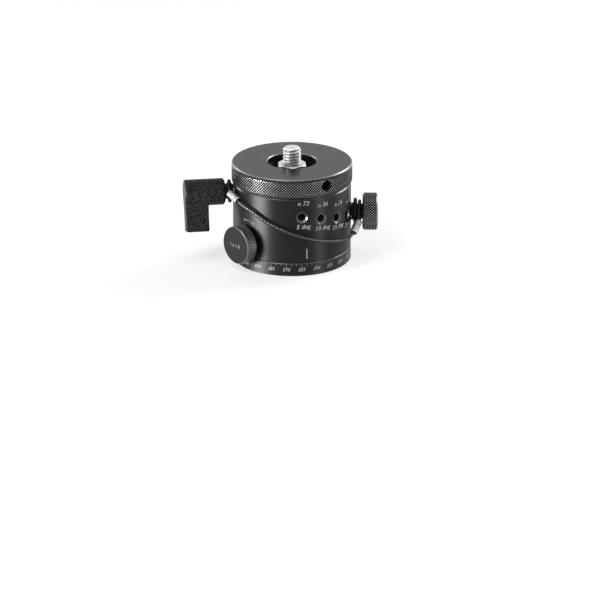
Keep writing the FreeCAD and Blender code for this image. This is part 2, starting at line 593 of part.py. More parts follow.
def lever_handle():
    """The moulded handle: a round hub and an arm that hangs from its outer half."""
    arm_start = LEVER_HUB_END - LEVER_ARM_WIDTH
    arm = Part.Face(lever_arm_outline()).extrude(FreeCAD.Vector(0, 0, LEVER_ARM_WIDTH))
    arm.translate(FreeCAD.Vector(0, 0, arm_start))
    arm = arm.makeFillet(LEVER_EDGE, [e for e in arm.Edges if e.BoundBox.ZLength < EDGE])
    arm_middle = arm_start + LEVER_ARM_WIDTH / 2
    hub = turned(
        [(0, LEVER_HUB_START), (LEVER_HUB_RADIUS - LEVER_EDGE, LEVER_HUB_START),
         (LEVER_HUB_RADIUS, LEVER_HUB_START + LEVER_EDGE), (LEVER_HUB_RADIUS, arm_middle), (0, arm_middle)]
    )
    bore = rod(LEVER_SHANK_RADIUS + ASSEMBLY_GAP, LEVER_HUB_START - CUT_OVERSHOOT,
               LEVER_HUB_START + LEVER_SHANK_LENGTH + ASSEMBLY_GAP)
    handle = arm.fuse(hub).removeSplitter().cut(bore)
    handle.rotate(ORIGIN, UP, LEVER_SWING)
    return radial(handle, LEVER_AZIMUTH, LEVER_HEIGHT)


# ---------------------------------------------------------------- index plunger
def tip_centre():
    """Where the tip's round end sits: in a 90 degree dimple, with a rubbing gap."""
    apex = DRUM_RADIUS - DIMPLE_RADIUS
    return apex + (TIP_RADIUS + RUBBING_GAP) * math.sqrt(2)


def plunger_tip():
    """The pin whose round end drops into the drum's dimples."""
    stem = rod(TIP_RADIUS, tip_centre(), SPRING_START)
    collar = rod(TIP_HEAD_RADIUS, TIP_HEAD_START, SPRING_START)
    ball = Part.makeSphere(TIP_RADIUS, FreeCAD.Vector(0, 0, tip_centre()))
    return radial(stem.fuse([collar, ball]).removeSplitter(), PLUNGER_AZIMUTH, PLUNGER_HEIGHT)


def plunger_sleeve():
    """The threaded nose, flange and neck, bored through for the tip and its spring."""
    bore, guide = TIP_HEAD_RADIUS + RUNNING_GAP, TIP_RADIUS + RUNNING_GAP
    nose = INDEX_THREAD_RADIUS - ASSEMBLY_GAP
    lip_end = PLUNGER_NOSE_START + PLUNGER_LIP_LENGTH
    collar_start = BODY_RADIUS + ASSEMBLY_GAP
    seat_end = SPRING_SEAT_START + SPRING_SEAT_LENGTH + ASSEMBLY_GAP
    outline = [
        (guide, PLUNGER_NOSE_START),
        (nose - EDGE, PLUNGER_NOSE_START),
        (nose, PLUNGER_NOSE_START + EDGE),
        (nose, collar_start),
        (PLUNGER_COLLAR_RADIUS, collar_start),
        (PLUNGER_COLLAR_RADIUS, PLUNGER_FLANGE_START),
        (PLUNGER_FLANGE_RADIUS, PLUNGER_FLANGE_START + EDGE),
        (PLUNGER_FLANGE_RADIUS, PLUNGER_FLANGE_END - EDGE),
        (PLUNGER_FLANGE_RADIUS - EDGE, PLUNGER_FLANGE_END),
        (NECK_RADIUS, PLUNGER_FLANGE_END),
        (NECK_RADIUS, PLUNGER_SHANK_END),
        (0, PLUNGER_SHANK_END),
    ]
    hollow = [(0, seat_end), (bore, seat_end), (bore, lip_end), (guide, lip_end)]
    body = turned(outline + hollow)
    return radial(body, PLUNGER_AZIMUTH, PLUNGER_HEIGHT)


def plunger_knob():
    end = PLUNGER_KNOB_START + PLUNGER_KNOB_LENGTH
    bore, depth = NECK_RADIUS + ASSEMBLY_GAP, PLUNGER_SHANK_END + ASSEMBLY_GAP
    chamfer = PLUNGER_KNOB_CHAMFER
    body = turned(
        [(bore, PLUNGER_KNOB_START), (PLUNGER_KNOB_RADIUS - chamfer, PLUNGER_KNOB_START),
         (PLUNGER_KNOB_RADIUS, PLUNGER_KNOB_START + chamfer), (PLUNGER_KNOB_RADIUS, end - chamfer),
         (PLUNGER_KNOB_RADIUS - chamfer, end), (0, end), (0, depth), (bore, depth)]
    )
    return radial(body, PLUNGER_AZIMUTH, PLUNGER_HEIGHT)


def spring_seat():
    body = rod(TIP_HEAD_RADIUS - ASSEMBLY_GAP, SPRING_SEAT_START, SPRING_SEAT_START + SPRING_SEAT_LENGTH)
    return radial(body, PLUNGER_AZIMUTH, PLUNGER_HEIGHT)


def plunger_spring():
    """The sleeve that the coil fills between the tip's head and the seat."""
    outer = TIP_HEAD_RADIUS - ASSEMBLY_GAP
    start, end = SPRING_START + ASSEMBLY_GAP, SPRING_SEAT_START - ASSEMBLY_GAP
    return radial(ring(outer - SPRING_WIRE, outer, start, end), PLUNGER_AZIMUTH, PLUNGER_HEIGHT)


# ---------------------------------------------------------------- tether
def rounded_path(points):
    """Straight runs joined by tangent arcs, as a wire, and the arcs' radii."""
    edges, radii, start = [], [], points[0]
    for before, corner, after in zip(points, points[1:], points[2:]):
        back, ahead = (before - corner), (after - corner)
        reach = BEND_SHARE * min(back.Length, ahead.Length)
        half_turn = (math.pi - back.getAngle(ahead)) / 2
        radius = reach / math.tan(half_turn)
        back.normalize()
        ahead.normalize()
        middle = back + ahead
        middle.normalize()
        first, last = corner + back * reach, corner + ahead * reach
        top = corner + middle * (radius / math.cos(half_turn) - radius)
        edges += [Part.LineSegment(start, first).toShape(), Part.Arc(first, top, last).toShape()]
        radii.append(radius)
        start = last
    edges.append(Part.LineSegment(start, points[-1]).toShape())
    return Part.Wire(edges), radii


def tube(points, diameter):
    path, radii = rounded_path(points)
    heading = points[1] - points[0]
    section = Part.Wire(Part.makeCircle(diameter / 2, points[0], heading))
    solid = path.makePipeShell([section], True, False)
    expected = math.pi * diameter**2 / 4 * path.Length
    print("tube: length %.1f mm, volume / (section x length) %.4f" % (path.Length, solid.Volume / expected))
    print("tube: bend radii", ", ".join("%.1f" % radius for radius in radii))
    return solid


def tether_cable():
    return tube([FreeCAD.Vector(*point) for point in TETHER_ROUTE], CABLE_DIAMETER)


def ferrule(cable_end, next_point):
    """An oval crimp sleeve in line with the cable's last run, its narrow side facing outwards."""
    axis = cable_end - next_point
    axis.normalize()
    outward = FreeCAD.Vector(cable_end.x, cable_end.y, 0)
    thin = axis.cross(outward)
    thin.normalize()
    wide = axis.cross(thin)
    half_thin = thin * (FERRULE_THICKNESS / 2)
    half_flat = wide * ((FERRULE_WIDTH - FERRULE_THICKNESS) / 2)
    half_wide = wide * (FERRULE_WIDTH / 2)
    left, right = cable_end - half_flat, cable_end + half_flat
    outline = Part.Wire([
        Part.LineSegment(left - half_thin, right - half_thin).toShape(),
        Part.Arc(right - half_thin, cable_end + half_wide, right + half_thin).toShape(),
        Part.LineSegment(right + half_thin, left + half_thin).toShape(),
        Part.Arc(left + half_thin, cable_end - half_wide, left - half_thin).toShape(),
    ])
    return Part.Face(outline).extrude(axis * FERRULE_LENGTH)


def lever_ferrule():
    end, inside = TETHER_ROUTE[:2]
    return ferrule(FreeCAD.Vector(*end), FreeCAD.Vector(*inside))


def plunger_ferrule():
    inside, end = TETHER_ROUTE[-2:]
    return ferrule(FreeCAD.Vector(*end), FreeCAD.Vector(*inside))


def cable_loop():
    """A ring of cable about Z, its section an octagon."""
    section = [
        (LOOP_RADIUS + CABLE_DIAMETER / 2 * math.cos(math.radians(angle)),
         CABLE_DIAMETER / 2 * math.sin(math.radians(angle)))
        for angle in range(0, 360, 45)
    ]
    return turned(section)


def lever_loop():
    """The cable's ring round the lever's neck, tilted by the pull of the cable."""
    loop = cable_loop()
    loop.rotate(ORIGIN, FreeCAD.Vector(0, 1, 0), -LEVER_LOOP_TILT)
    loop.translate(FreeCAD.Vector(0, 0, LEVER_LOOP_DISTANCE))
    return radial(loop, LEVER_AZIMUTH, LEVER_HEIGHT)


def plunger_loop():
    loop = cable_loop()
    loop.translate(FreeCAD.Vector(0, 0, PLUNGER_LOOP_DISTANCE))
    return radial(loop, PLUNGER_AZIMUTH, PLUNGER_HEIGHT)


# ---------------------------------------------------------------- the whole head
NODES = {
    "base_plate": base_plate,
    "scale_ring": scale_ring,
    "tripod_bush": tripod_bush,
    "base_screws": base_screws,
    "index_drum": index_drum,
    "lower_slide_washer": lower_slide_washer,
    "upper_slide_washer": upper_slide_washer,
    "housing": housing,
    "bearing_deck": bearing_deck,
    "turntable_washer_low": turntable_washer_low,
    "turntable_washer_high": turntable_washer_high,
    "retaining_ring": retaining_ring,
    "turntable_hub": turntable_hub,
    "top_disc": top_disc,
    "rim_set_screw": rim_set_screw,
    "nut_washer": nut_washer,
    "stud_nut": stud_nut,
    "stud": stud,
    "lock_shoe": lambda: shoe(DRUM_RADIUS, LOCK_AZIMUTH, LOCK_HEIGHT),
    "lock_screw": lock_screw,
    "lock_knob": lock_knob,
    "clamp_shoe": lambda: shoe(HUB_RADIUS, LEVER_AZIMUTH, LEVER_HEIGHT),
    "lever_stud": lever_stud,
    "lever_insert": lever_insert,
    "lever_handle": lever_handle,
    "plunger_tip": plunger_tip,
    "plunger_spring": plunger_spring,
    "spring_seat": spring_seat,
    "plunger_sleeve": plunger_sleeve,
    "plunger_knob": plunger_knob,
    "tether_cable": tether_cable,
    "lever_ferrule": lever_ferrule,
    "plunger_ferrule": plunger_ferrule,
    "lever_loop": lever_loop,
    "plunger_loop": plunger_loop,
}


def main():
    os.makedirs("parts", exist_ok=True)
    for name, make in NODES.items():
        make().exportStep(f"parts/{name}.step")


main()
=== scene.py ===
"""Looks of the panoramic tripod head over its CAD frame.

Shapes are made in millimetres and degrees, and scaled to metres when they become pieces.
"""

import math

import bmesh
import bpy
from mathutils import Matrix, Vector

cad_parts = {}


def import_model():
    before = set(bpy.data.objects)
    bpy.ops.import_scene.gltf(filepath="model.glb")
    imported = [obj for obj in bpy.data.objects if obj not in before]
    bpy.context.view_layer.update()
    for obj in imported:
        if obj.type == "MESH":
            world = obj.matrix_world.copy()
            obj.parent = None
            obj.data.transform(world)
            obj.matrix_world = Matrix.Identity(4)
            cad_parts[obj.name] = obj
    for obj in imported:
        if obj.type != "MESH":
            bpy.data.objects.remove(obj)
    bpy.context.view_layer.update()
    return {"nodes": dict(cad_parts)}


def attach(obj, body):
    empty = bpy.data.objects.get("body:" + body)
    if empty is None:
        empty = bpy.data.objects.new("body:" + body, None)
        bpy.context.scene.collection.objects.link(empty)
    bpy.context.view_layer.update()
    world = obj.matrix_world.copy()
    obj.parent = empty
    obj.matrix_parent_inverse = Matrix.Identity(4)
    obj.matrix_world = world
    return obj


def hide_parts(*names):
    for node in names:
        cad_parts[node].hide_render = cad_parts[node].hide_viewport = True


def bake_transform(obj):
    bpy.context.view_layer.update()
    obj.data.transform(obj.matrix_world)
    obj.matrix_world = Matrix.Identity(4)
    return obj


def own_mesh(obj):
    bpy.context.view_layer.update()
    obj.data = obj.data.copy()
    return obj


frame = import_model()
MM = 0.001
TAU = 2 * math.pi

# ---------------------------------------------------------------- sizes shared with the solids
HOUSING_RADIUS = 31.0
DISC_RADIUS = 31.64
DISC_LOW, DISC_TOP = 42.85, 53.1
STUD_LOW, STUD_TOP = 35.55, 60.55
STUD_RADIUS, STUD_PITCH = 4.7625, 1.5875
HOLE_RADIUS = 2.5
FIRST_HOLE_AZIMUTH, FIRST_HOLE_HEIGHT = 10.0, 32.4
HOLE_TURN, HOLE_FALL = 20.0, 1.8
CLICKS = (72, 36, 24, 18, 12, 10, 6, 4)
PLUNGER_ROW = 4
LOCK_AZIMUTH, LOCK_HEIGHT, LOCK_FACE = -48.0, 15.25, 39.2
LEVER_AZIMUTH, LEVER_HEIGHT = -81.0, 38.0
PLUNGER_AZIMUTH, PLUNGER_HEIGHT = 90.0, 25.2
CABLE_DIAMETER = 1.8
FERRULE_LENGTH = 7.0
EYE_RADIUS = 5.3
TETHER = (
    (-28.4, -17.4, 37.5),
    (-27.1, -19.3, 37.0),
    (-24.9, -22.7, 36.0),
    (-19.6, -26.9, 33.7),
    (-12.3, -31.0, 29.3),
    (-3.0, -33.1, 25.3),
    (6.7, -32.5, 21.8),
    (15.6, -29.1, 18.8),
    (22.6, -24.1, 17.0),
    (27.9, -19.5, 16.2),
    (31.4, -16.2, 17.3),
    (32.6, -13.4, 19.0),
)

# ---------------------------------------------------------------- materials
CLOUD_SIZE = 14  # the large-scale noise against the grain
ROUGHNESS_SPAN = (0.85, 1.2)  # what the noise makes of the roughness, from and to
MACHINED_ROUGHNESS = 0.28
CHAMFER_SLOPE, SLOPE_TOLERANCE = math.sin(math.radians(45)), 0.09
UPRIGHT = 0.25  # the anisotropic rotation that draws highlights out along the pan axis
MIX_SOCKETS = {"FLOAT": (2, 0), "RGBA": (6, 2)}  # a Mix node's first input and its output


def link(tree, source, target):
    tree.links.new(source, target)


def node(tree, kind, value=None, **settings):
    """A shader node, with its operation and other settings, and perhaps a second input."""
    made = tree.nodes.new("ShaderNode" + kind)
    for name, setting in settings.items():
        setattr(made, name, setting)
    if value is not None:
        made.inputs[1].default_value = value
    return made


def set_inputs(made, **values):
    """Sets a node's inputs by name, with _ for a space."""
    for name, value in values.items():
        made.inputs[name.replace("_", " ")].default_value = value


def noise(tree, place, size, detail):
    made = node(tree, "TexNoise")
    set_inputs(made, Scale=1 / (size * MM), Detail=detail)
    link(tree, place, made.inputs["Vector"])
    return made.outputs["Fac"]


def chamfer_share(tree, place):
    """1 where the surface slopes at about 45 degrees to Z, as machined chamfers do, and else 0."""
    parts = node(tree, "SeparateXYZ")
    link(tree, place.outputs["Normal"], parts.inputs[0])
    steep = node(tree, "Math", operation="ABSOLUTE")
    link(tree, parts.outputs["Z"], steep.inputs[0])
    near = node(tree, "Math", CHAMFER_SLOPE, operation="COMPARE")
    near.inputs[2].default_value = SLOPE_TOLERANCE
    link(tree, steep.outputs[0], near.inputs[0])
    return near.outputs[0]


def mixed(tree, share, first, second, kind):
    """A socket that turns from the first value to the second with the share."""
    mix = node(tree, "Mix", data_type=kind)
    at, out = MIX_SOCKETS[kind]
    for index, value in ((0, share), (at, first), (at + 1, second)):
        if isinstance(value, bpy.types.NodeSocket):
            link(tree, value, mix.inputs[index])
        else:
            mix.inputs[index].default_value = value
    return mix.outputs[out]


def surface(name, slot, color, roughness, metallic=0.0, grain=0.0, grain_size=0.4, tint=0.25,
            specular=0.5, spread=(1.0, 1.0, 1.0), machined=None, speckle=0.2, cloud=0.5,
            turned_grain=0.0):
    """A Principled material whose colour, roughness and bump vary with noise.

    The slot is the record's finish that it stands for. Grain is the bump's height, grain_size the
    noise's size and spread its stretch. A small speckle gives the colour's noise more contrast,
    tint is how far it goes, and cloud is the share of its large-scale part. With machined,
    chamfers are bare metal of that brightness. With turned_grain, highlights are drawn out along
    the pan axis, as fine turning marks draw them out.
    """
    material = bpy.data.materials.new(name)
    material["slot"] = slot
    material.use_nodes = True
    tree = material.node_tree
    shader = tree.nodes["Principled BSDF"]
    set_inputs(shader, Metallic=metallic, Specular_IOR_Level=specular)
    place = node(tree, "TexCoord")
    stretch = node(tree, "Mapping")
    set_inputs(stretch, Scale=spread)
    link(tree, place.outputs["Object"], stretch.inputs["Vector"])
    coarse = noise(tree, stretch.outputs["Vector"], grain_size * CLOUD_SIZE, 3)
    fine = noise(tree, stretch.outputs["Vector"], grain_size, 2)
    blend = mixed(tree, cloud, fine, coarse, "FLOAT")
    ramp = node(tree, "ValToRGB")
    dark, light = ramp.color_ramp.elements
    dark.position, light.position = 0.5 - speckle, 0.5 + speckle
    dark.color = [c * (1 - tint) for c in color] + [1]
    light.color = [min(1, c * (1 + tint)) for c in color] + [1]
    link(tree, blend, ramp.inputs["Fac"])
    rough = node(tree, "MapRange")
    least, most = (roughness * part for part in ROUGHNESS_SPAN)
    set_inputs(rough, To_Min=least, To_Max=min(1, most))
    link(tree, blend, rough.inputs["Value"])
    shown, smoothness = ramp.outputs["Color"], rough.outputs["Result"]
    if machined:
        share = chamfer_share(tree, place)
        shown = mixed(tree, share, shown, (machined, machined, machined, 1), "RGBA")
        smoothness = mixed(tree, share, smoothness, MACHINED_ROUGHNESS, "FLOAT")
        link(tree, share, shader.inputs["Metallic"])
    link(tree, shown, shader.inputs["Base Color"])
    link(tree, smoothness, shader.inputs["Roughness"])
    if turned_grain:
        tangent = node(tree, "Tangent", direction_type="RADIAL", axis="Z")
        link(tree, tangent.outputs[0], shader.inputs["Tangent"])
        set_inputs(shader, Anisotropic=turned_grain, Anisotropic_Rotation=UPRIGHT)
    if grain:
        bump = node(tree, "Bump")
        set_inputs(bump, Distance=grain * MM)
        link(tree, fine, bump.inputs["Height"])
        link(tree, bump.outputs["Normal"], shader.inputs["Normal"])
    return material


def metal(name, slot, color, roughness, **more):
    return surface(name, slot, color, roughness, metallic=1.0, **more)


def grey(level):
    return (level, level, level)


AROUND = (0.12, 0.12, 1.0)  # grain drawn out round the pan axis, as turning leaves it
BLACK = (0.0025, 0.0025, 0.003)
TURNED_BLACK = dict(grain=0.01, grain_size=0.5, specular=0.25, tint=0.6, speckle=0.12,
                    machined=0.1, turned_grain=0.85)
housing_black = surface("housing_black", "black_anodised", BLACK, 0.46, **TURNED_BLACK)
disc_black = surface("disc_black", "disc_anodised", (0.015, 0.015, 0.016), 0.17, grain=0.008,
                     grain_size=0.45, specular=0.17, tint=0.5, speckle=0.12)
base_black = surface("base_black", "black_anodised", BLACK, 0.46, **TURNED_BLACK)
knob_black = surface("knob_black", "black_anodised", BLACK, 0.42, grain=0.015, specular=0.145,
                     tint=0.5, speckle=0.12)
knurl_crest = metal("knurl_crest", "disc_anodised", (0.29, 0.29, 0.3), 0.3, grain=0.02, tint=0.4)
knob_crest = metal("knob_crest", "black_anodised", (0.4, 0.4, 0.41), 0.3, grain=0.02, tint=0.4)
# painted shade: the plunger knob's knurl flanks are darker than its plain surface
knob_root_painted_shade = metal("knob_root_painted_shade", "black_anodised", grey(0.008), 0.35, grain=0.01)
lock_root = metal("lock_root", "black_anodised", grey(0.06), 0.35, grain=0.01)
# painted shade: the disc's knurl flanks are darker and duller than the disc itself
knurl_root_painted_shade = surface("knurl_root_painted_shade", "disc_anodised", grey(0.003), 0.5, grain=0.01, specular=0.06)
machined_edge = metal("machined_edge", "disc_anodised", grey(0.16), 0.35, grain=0.004)
hole_edge = metal("hole_edge", "disc_anodised", grey(0.1), 0.34, grain=0.004)
# black_steel is the black steel parts' own colour; it also serves as painted shade in the index
# holes' thread roots and the ferrules' mouths
black_steel = surface("black_steel", "black_steel", grey(0.003), 0.3, grain=0.006, specular=0.1)
stainless = metal("stainless", "stainless", (0.66, 0.66, 0.67), 0.36, grain=0.01,
                  grain_size=0.25, tint=0.2)
# painted shade: the stud's thread roots are dark against the bright stainless
thread_root_painted_shade = metal("thread_root_painted_shade", "stainless", grey(0.07), 0.45, grain=0.01)
bare_aluminium = metal("bare_aluminium", "bare_aluminium", (0.68, 0.69, 0.71), 0.34, grain=0.004,
                       spread=AROUND)
drum_steel = metal("drum_steel", "drum_steel", (0.34, 0.34, 0.35), 0.3, grain=0.004,
                   spread=AROUND)
brass = metal("brass", "brass", (0.72, 0.5, 0.2), 0.3, grain=0.004)
slide_plastic = surface("slide_plastic", "slide_plastic", (0.78, 0.77, 0.72), 0.5, grain=0.004,
                        tint=0.06)
lever_plastic = surface("lever_plastic", "lever_plastic", (0.018, 0.018, 0.019), 0.34,
                        grain=0.09, grain_size=0.58, tint=0.95, specular=0.08, speckle=0.04,
                        cloud=0.0)
cable_coat = surface("cable_coat", "coated_cable", grey(0.004), 0.2, grain=0.002, specular=0.3)
# painted highlight: a more reflective metal on every second strand, for the glints of the twisted
# strands
cable_painted_glint = metal("cable_painted_glint", "coated_cable", grey(0.07), 0.25, grain=0.002)
crimp_aluminium = metal("crimp_aluminium", "crimp_aluminium", (0.42, 0.42, 0.43), 0.4,
                        grain=0.04, grain_size=0.6, tint=0.3)
grey_paint = surface("grey_paint", "black_anodised", grey(0.38), 0.6, tint=0.2, grain_size=0.3)
faint_paint = surface("faint_paint", "black_anodised", grey(0.19), 0.6, tint=0.3, grain_size=0.3)

NODE_MATERIALS = {
    housing_black: ("housing",),
    base_black: ("base_plate", "scale_ring", "turntable_hub"),
    black_steel: ("plunger_sleeve", "lever_insert", "nut_washer", "rim_set_screw"),
    crimp_aluminium: ("lever_ferrule", "plunger_ferrule"),
    cable_coat: ("lever_loop", "plunger_loop"),
    stainless: ("tripod_bush", "base_screws", "stud_nut", "lock_screw", "lever_stud",
                "plunger_tip", "spring_seat"),
    bare_aluminium: ("bearing_deck", "retaining_ring"),
    drum_steel: ("index_drum",),
    brass: ("lock_shoe", "clamp_shoe"),
    slide_plastic: ("lower_slide_washer", "upper_slide_washer", "turntable_washer_low",
                    "turntable_washer_high"),
}
for material, names in NODE_MATERIALS.items():
    for name in names:
        for slot in frame["nodes"][name].material_slots:
            slot.material = material


# ---------------------------------------------------------------- shared shapes
SHARP = 32  # the angle from which an edge is shaded sharp
SAME_PLACE = 1e-4
CHAMFER_NORMALS = (0.6, 0.8)  # how much of a chamfer's normal points along Z
CREST, EDGE, ROOT = 1, 2, 3  # a knurled piece's materials, after its plain surface


def radial(azimuth, height):
    """Lays a piece made about Z along the radius at that azimuth: its Z points out and its Y up."""
    s, c = math.sin(math.radians(azimuth)), math.cos(math.radians(azimuth))
    return Matrix(((c, 0, s, 0), (s, 0, -c, 0), (0, 1, 0, height), (0, 0, 0, 1)))


def even_angles(count):
    return [TAU * k / count for k in range(count)]


def new_object(name, data):
    thing = bpy.data.objects.new(name, data)
    bpy.context.scene.collection.objects.link(thing)
    return thing


def into_mesh(name, bm, scale=1.0):
    """The mesh of a bmesh, which is used up."""
    bm.transform(Matrix.Scale(scale, 4))
    mesh = bpy.data.meshes.new(name)
    bm.to_mesh(mesh)
    bm.free()
    return mesh


def evaluated(thing):
    """The mesh of an object with its modifiers."""
    graph = bpy.context.evaluated_depsgraph_get()
    return bpy.data.meshes.new_from_object(thing.evaluated_get(graph))


def curve_mesh(curve):
    """The mesh that a curve or a text makes."""
    thing = new_object(curve.name, curve)
    mesh = evaluated(thing)
    bpy.data.objects.remove(thing)
    return mesh


def shade(mesh, sharp):
    mesh.shade_smooth()
    mesh.set_sharp_from_angle(angle=math.radians(sharp))


def piece(name, bm, materials, body=None, stands_for=None, matrix=None, sharp=SHARP):
    """A Blender object of a mesh in millimetres, riding on a body and perhaps standing for a node.

    Its first material is the one that the record's slot is taken from.
    """
    if matrix is not None:
        bm.transform(matrix)
    bmesh.ops.remove_doubles(bm, verts=bm.verts, dist=SAME_PLACE)
    bmesh.ops.recalc_face_normals(bm, faces=bm.faces)
    mesh = into_mesh(name, bm, MM)
    shade(mesh, sharp)
    for material in materials:
        mesh.materials.append(material)
    thing = new_object(name, mesh)
    if body:
        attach(thing, body)
    if stands_for:
        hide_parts(stands_for)
    return thing


def mark_chamfers(bm):
    """Gives the chamfers' faces the material of machined edges."""
    least, most = CHAMFER_NORMALS
    bm.normal_update()
    for face in bm.faces:
        if least < abs(face.normal.z) < most:
            face.material_index = EDGE
    return bm


def join(bm, low, high):
    """A band of faces between two rings of as many vertices, some of which may coincide."""
    for k in range(len(low)):
        after = (k + 1) % len(low)
        corners = list(dict.fromkeys((low[k], low[after], high[after], high[k])))
        if len(corners) > 2:
            bm.faces.new(corners)


def turned(bm, profile, angles):
    """Faces swept round Z through (radius, height) corners. Returns the first and last rings."""
    rings = []
    for radius, height in profile:
        if radius == 0:
            rings.append([bm.verts.new((0, 0, height))] * len(angles))
        else:
            rings.append([bm.verts.new((radius * math.cos(a), radius * math.sin(a), height))
                          for a in angles])
    for low, high in zip(rings, rings[1:]):
        join(bm, low, high)
    return rings[0], rings[-1]


class Knurl:
    """Flat-topped diamonds at 45 degrees on a cylinder, between two heights."""

    def __init__(self, radius, low, high, starts, depth, flat=0.46):
        self.radius, self.low, self.high, self.depth, self.flat = radius, low, high, depth, flat
        self.columns = 2 * starts
        self.step = TAU / self.columns
        self.rows = max(2, 2 * round((high - low) / (2 * radius * self.step)))
        self.angles = []
        for column in range(1, self.columns, 2):
            self.angles += [(column + shift) * self.step for shift in (-1, -flat, flat)]

    def point(self, bm, column, row, radius):
        angle = column * self.step
        height = self.low + (self.high - self.low) * row / self.rows
        return bm.verts.new((radius * math.cos(angle), radius * math.sin(angle), height))

    def build(self, bm):
        """The band's faces. Returns its lowest and highest rings, a vertex for each angle."""
        valleys = {
            (column, row): self.point(bm, column, row, self.radius - self.depth)
            for row in range(self.rows + 1)
            for column in range(row % 2, self.columns, 2)
        }
        edges = {0: [], self.rows: []}
        for row in range(self.rows + 1):
            for column in range(1 - row % 2, self.columns, 2):
                self.diamond(bm, valleys, column, row, edges)
        return edges[0], edges[self.rows]

    def diamond(self, bm, valleys, column, row, edges):
        """One flat top with its flanks. A diamond on the band's edge is cut in half."""
        ways = [(1, 0), (0, 1), (-1, 0), (0, -1)]
        inside = [(dc, dr) for dc, dr in ways if 0 <= row + dr <= self.rows]
        low = [valleys[(column + dc) % self.columns, row + dr] for dc, dr in inside]
        top = [self.point(bm, column + dc * self.flat, row + dr * self.flat, self.radius)
               for dc, dr in inside]
        bm.faces.new(top).material_index = CREST
        for k, way in enumerate(inside):
            after = (k + 1) % len(inside)
            if way[0] + inside[after][0] or way[1] + inside[after][1]:
                bm.faces.new((top[k], low[k], low[after], top[after])).material_index = ROOT
        if row in edges:
            west, east = inside.index((-1, 0)), inside.index((1, 0))
            edges[row] += [low[west], top[west], top[east]]


def knurled_solid(below, knurl, above):
    """A closed solid: a turned profile below, the knurled band, and a turned profile above."""
    bm = bmesh.new()
    low, high = knurl.build(bm)
    start, end = turned(bm, below, knurl.angles)
    join(bm, end, low)
    begin, finish = turned(bm, above, knurl.angles)
    join(bm, high, begin)
    if len(set(start)) > 1:
        join(bm, finish, start)
    return mark_chamfers(bm)


def cut(thing, bm):
    """Cuts a closed mesh in millimetres out of an object for good."""
    bmesh.ops.recalc_face_normals(bm, faces=bm.faces)
    tool = new_object("cutter", into_mesh("cutter", bm, MM))
    boolean = thing.modifiers.new("cut", "BOOLEAN")
    boolean.operation = "DIFFERENCE"
    boolean.solver = "EXACT"
    boolean.object = tool
    mesh = evaluated(thing)
    thing.modifiers.clear()
    thing.data = mesh
    shade(mesh, SHARP)
    bpy.data.objects.remove(tool)


def thread(bm, crest, root, pitch, low, high, columns, limit=None):
    """A helical thread's surface between two heights. Returns its lowest and highest rings.

    The root and the flank above it take the second material, a darker one that paints shade
    in the thread's hollows. The limit gives the largest radius at a height, as a chamfered end has
    it.
    """
    stations = ((0.0, root), (0.25, root), (0.56, crest), (0.69, crest))
    turns = math.ceil((high - low) / pitch) + 1
    rows = [(turn + place, radius) for turn in range(-1, turns + 1) for place, radius in stations]
    grid = []
    for place, radius in rows:
        ring = []
        for k in range(columns + 1):
            height = low + (place + k / columns) * pitch
            r = root if height <= low or height >= high else radius
            height = min(max(height, low), high)
            r = min(r, limit(height)) if limit else r
            angle = TAU * k / columns
            ring.append(bm.verts.new((r * math.cos(angle), r * math.sin(angle), height)))
        grid.append(ring)
    for row, (lower, upper) in enumerate(zip(grid, grid[1:])):
        for k in range(columns):
            face = bm.faces.new((lower[k], lower[k + 1], upper[k + 1], upper[k]))
            face.material_index = int(row % len(stations) < 2)
    return grid[0][:-1], grid[-1][:-1]


def gather(parts):
    """One mesh of several, each with its own placing."""
    whole = bmesh.new()
    for bm, place in parts:
        bm.transform(place)
        mesh = into_mesh("part", bm)
        whole.from_mesh(mesh)
        bpy.data.meshes.remove(mesh)
    return whole


# ---------------------------------------------------------------- turntable
def rim_hole():
    """The form of the countersunk radial hole in the turntable's rim, for cutting it out."""
    radius, mouth, inner_end, outer_end = 2.55, 3.1, 17.0, DISC_RADIUS + 1
    azimuth, height = 35.0, 48.0
    profile = [(0, inner_end), (radius, inner_end), (radius, DISC_RADIUS - mouth + radius),
               (mouth + 1, outer_end), (0, outer_end)]
    bm = bmesh.new()
    turned(bm, profile, even_angles(48))
    bm.transform(radial(azimuth, height))
    return bm


def top_disc():
    hollow, recess, floor_height = 18.05, 12.8, 50.0
    band_low, band_high = 43.55, 51.1
    low_corner, top_corner, recess_corner = 0.37, 0.6, 0.5
    knurl = Knurl(DISC_RADIUS, band_low, band_high, starts=128, depth=0.36)
    under, over = DISC_RADIUS - 0.18, DISC_RADIUS - 0.06
    below = [(hollow, floor_height), (hollow, DISC_LOW), (under - low_corner, DISC_LOW),
             (under, DISC_LOW + low_corner)]
    above = [(over, band_high + 0.2), (over, DISC_TOP - top_corner),
             (over - top_corner, DISC_TOP), (recess + recess_corner, DISC_TOP),
             (recess, DISC_TOP - recess_corner), (recess, floor_height)]
    # The knurl's flanks take a darker, duller material: painted shade between the diamonds.
    disc = piece("turntable_disc", knurled_solid(below, knurl, above),
                 (disc_black, knurl_crest, machined_edge, knurl_root_painted_shade), "turntable", "top_disc")
    cut(disc, rim_hole())


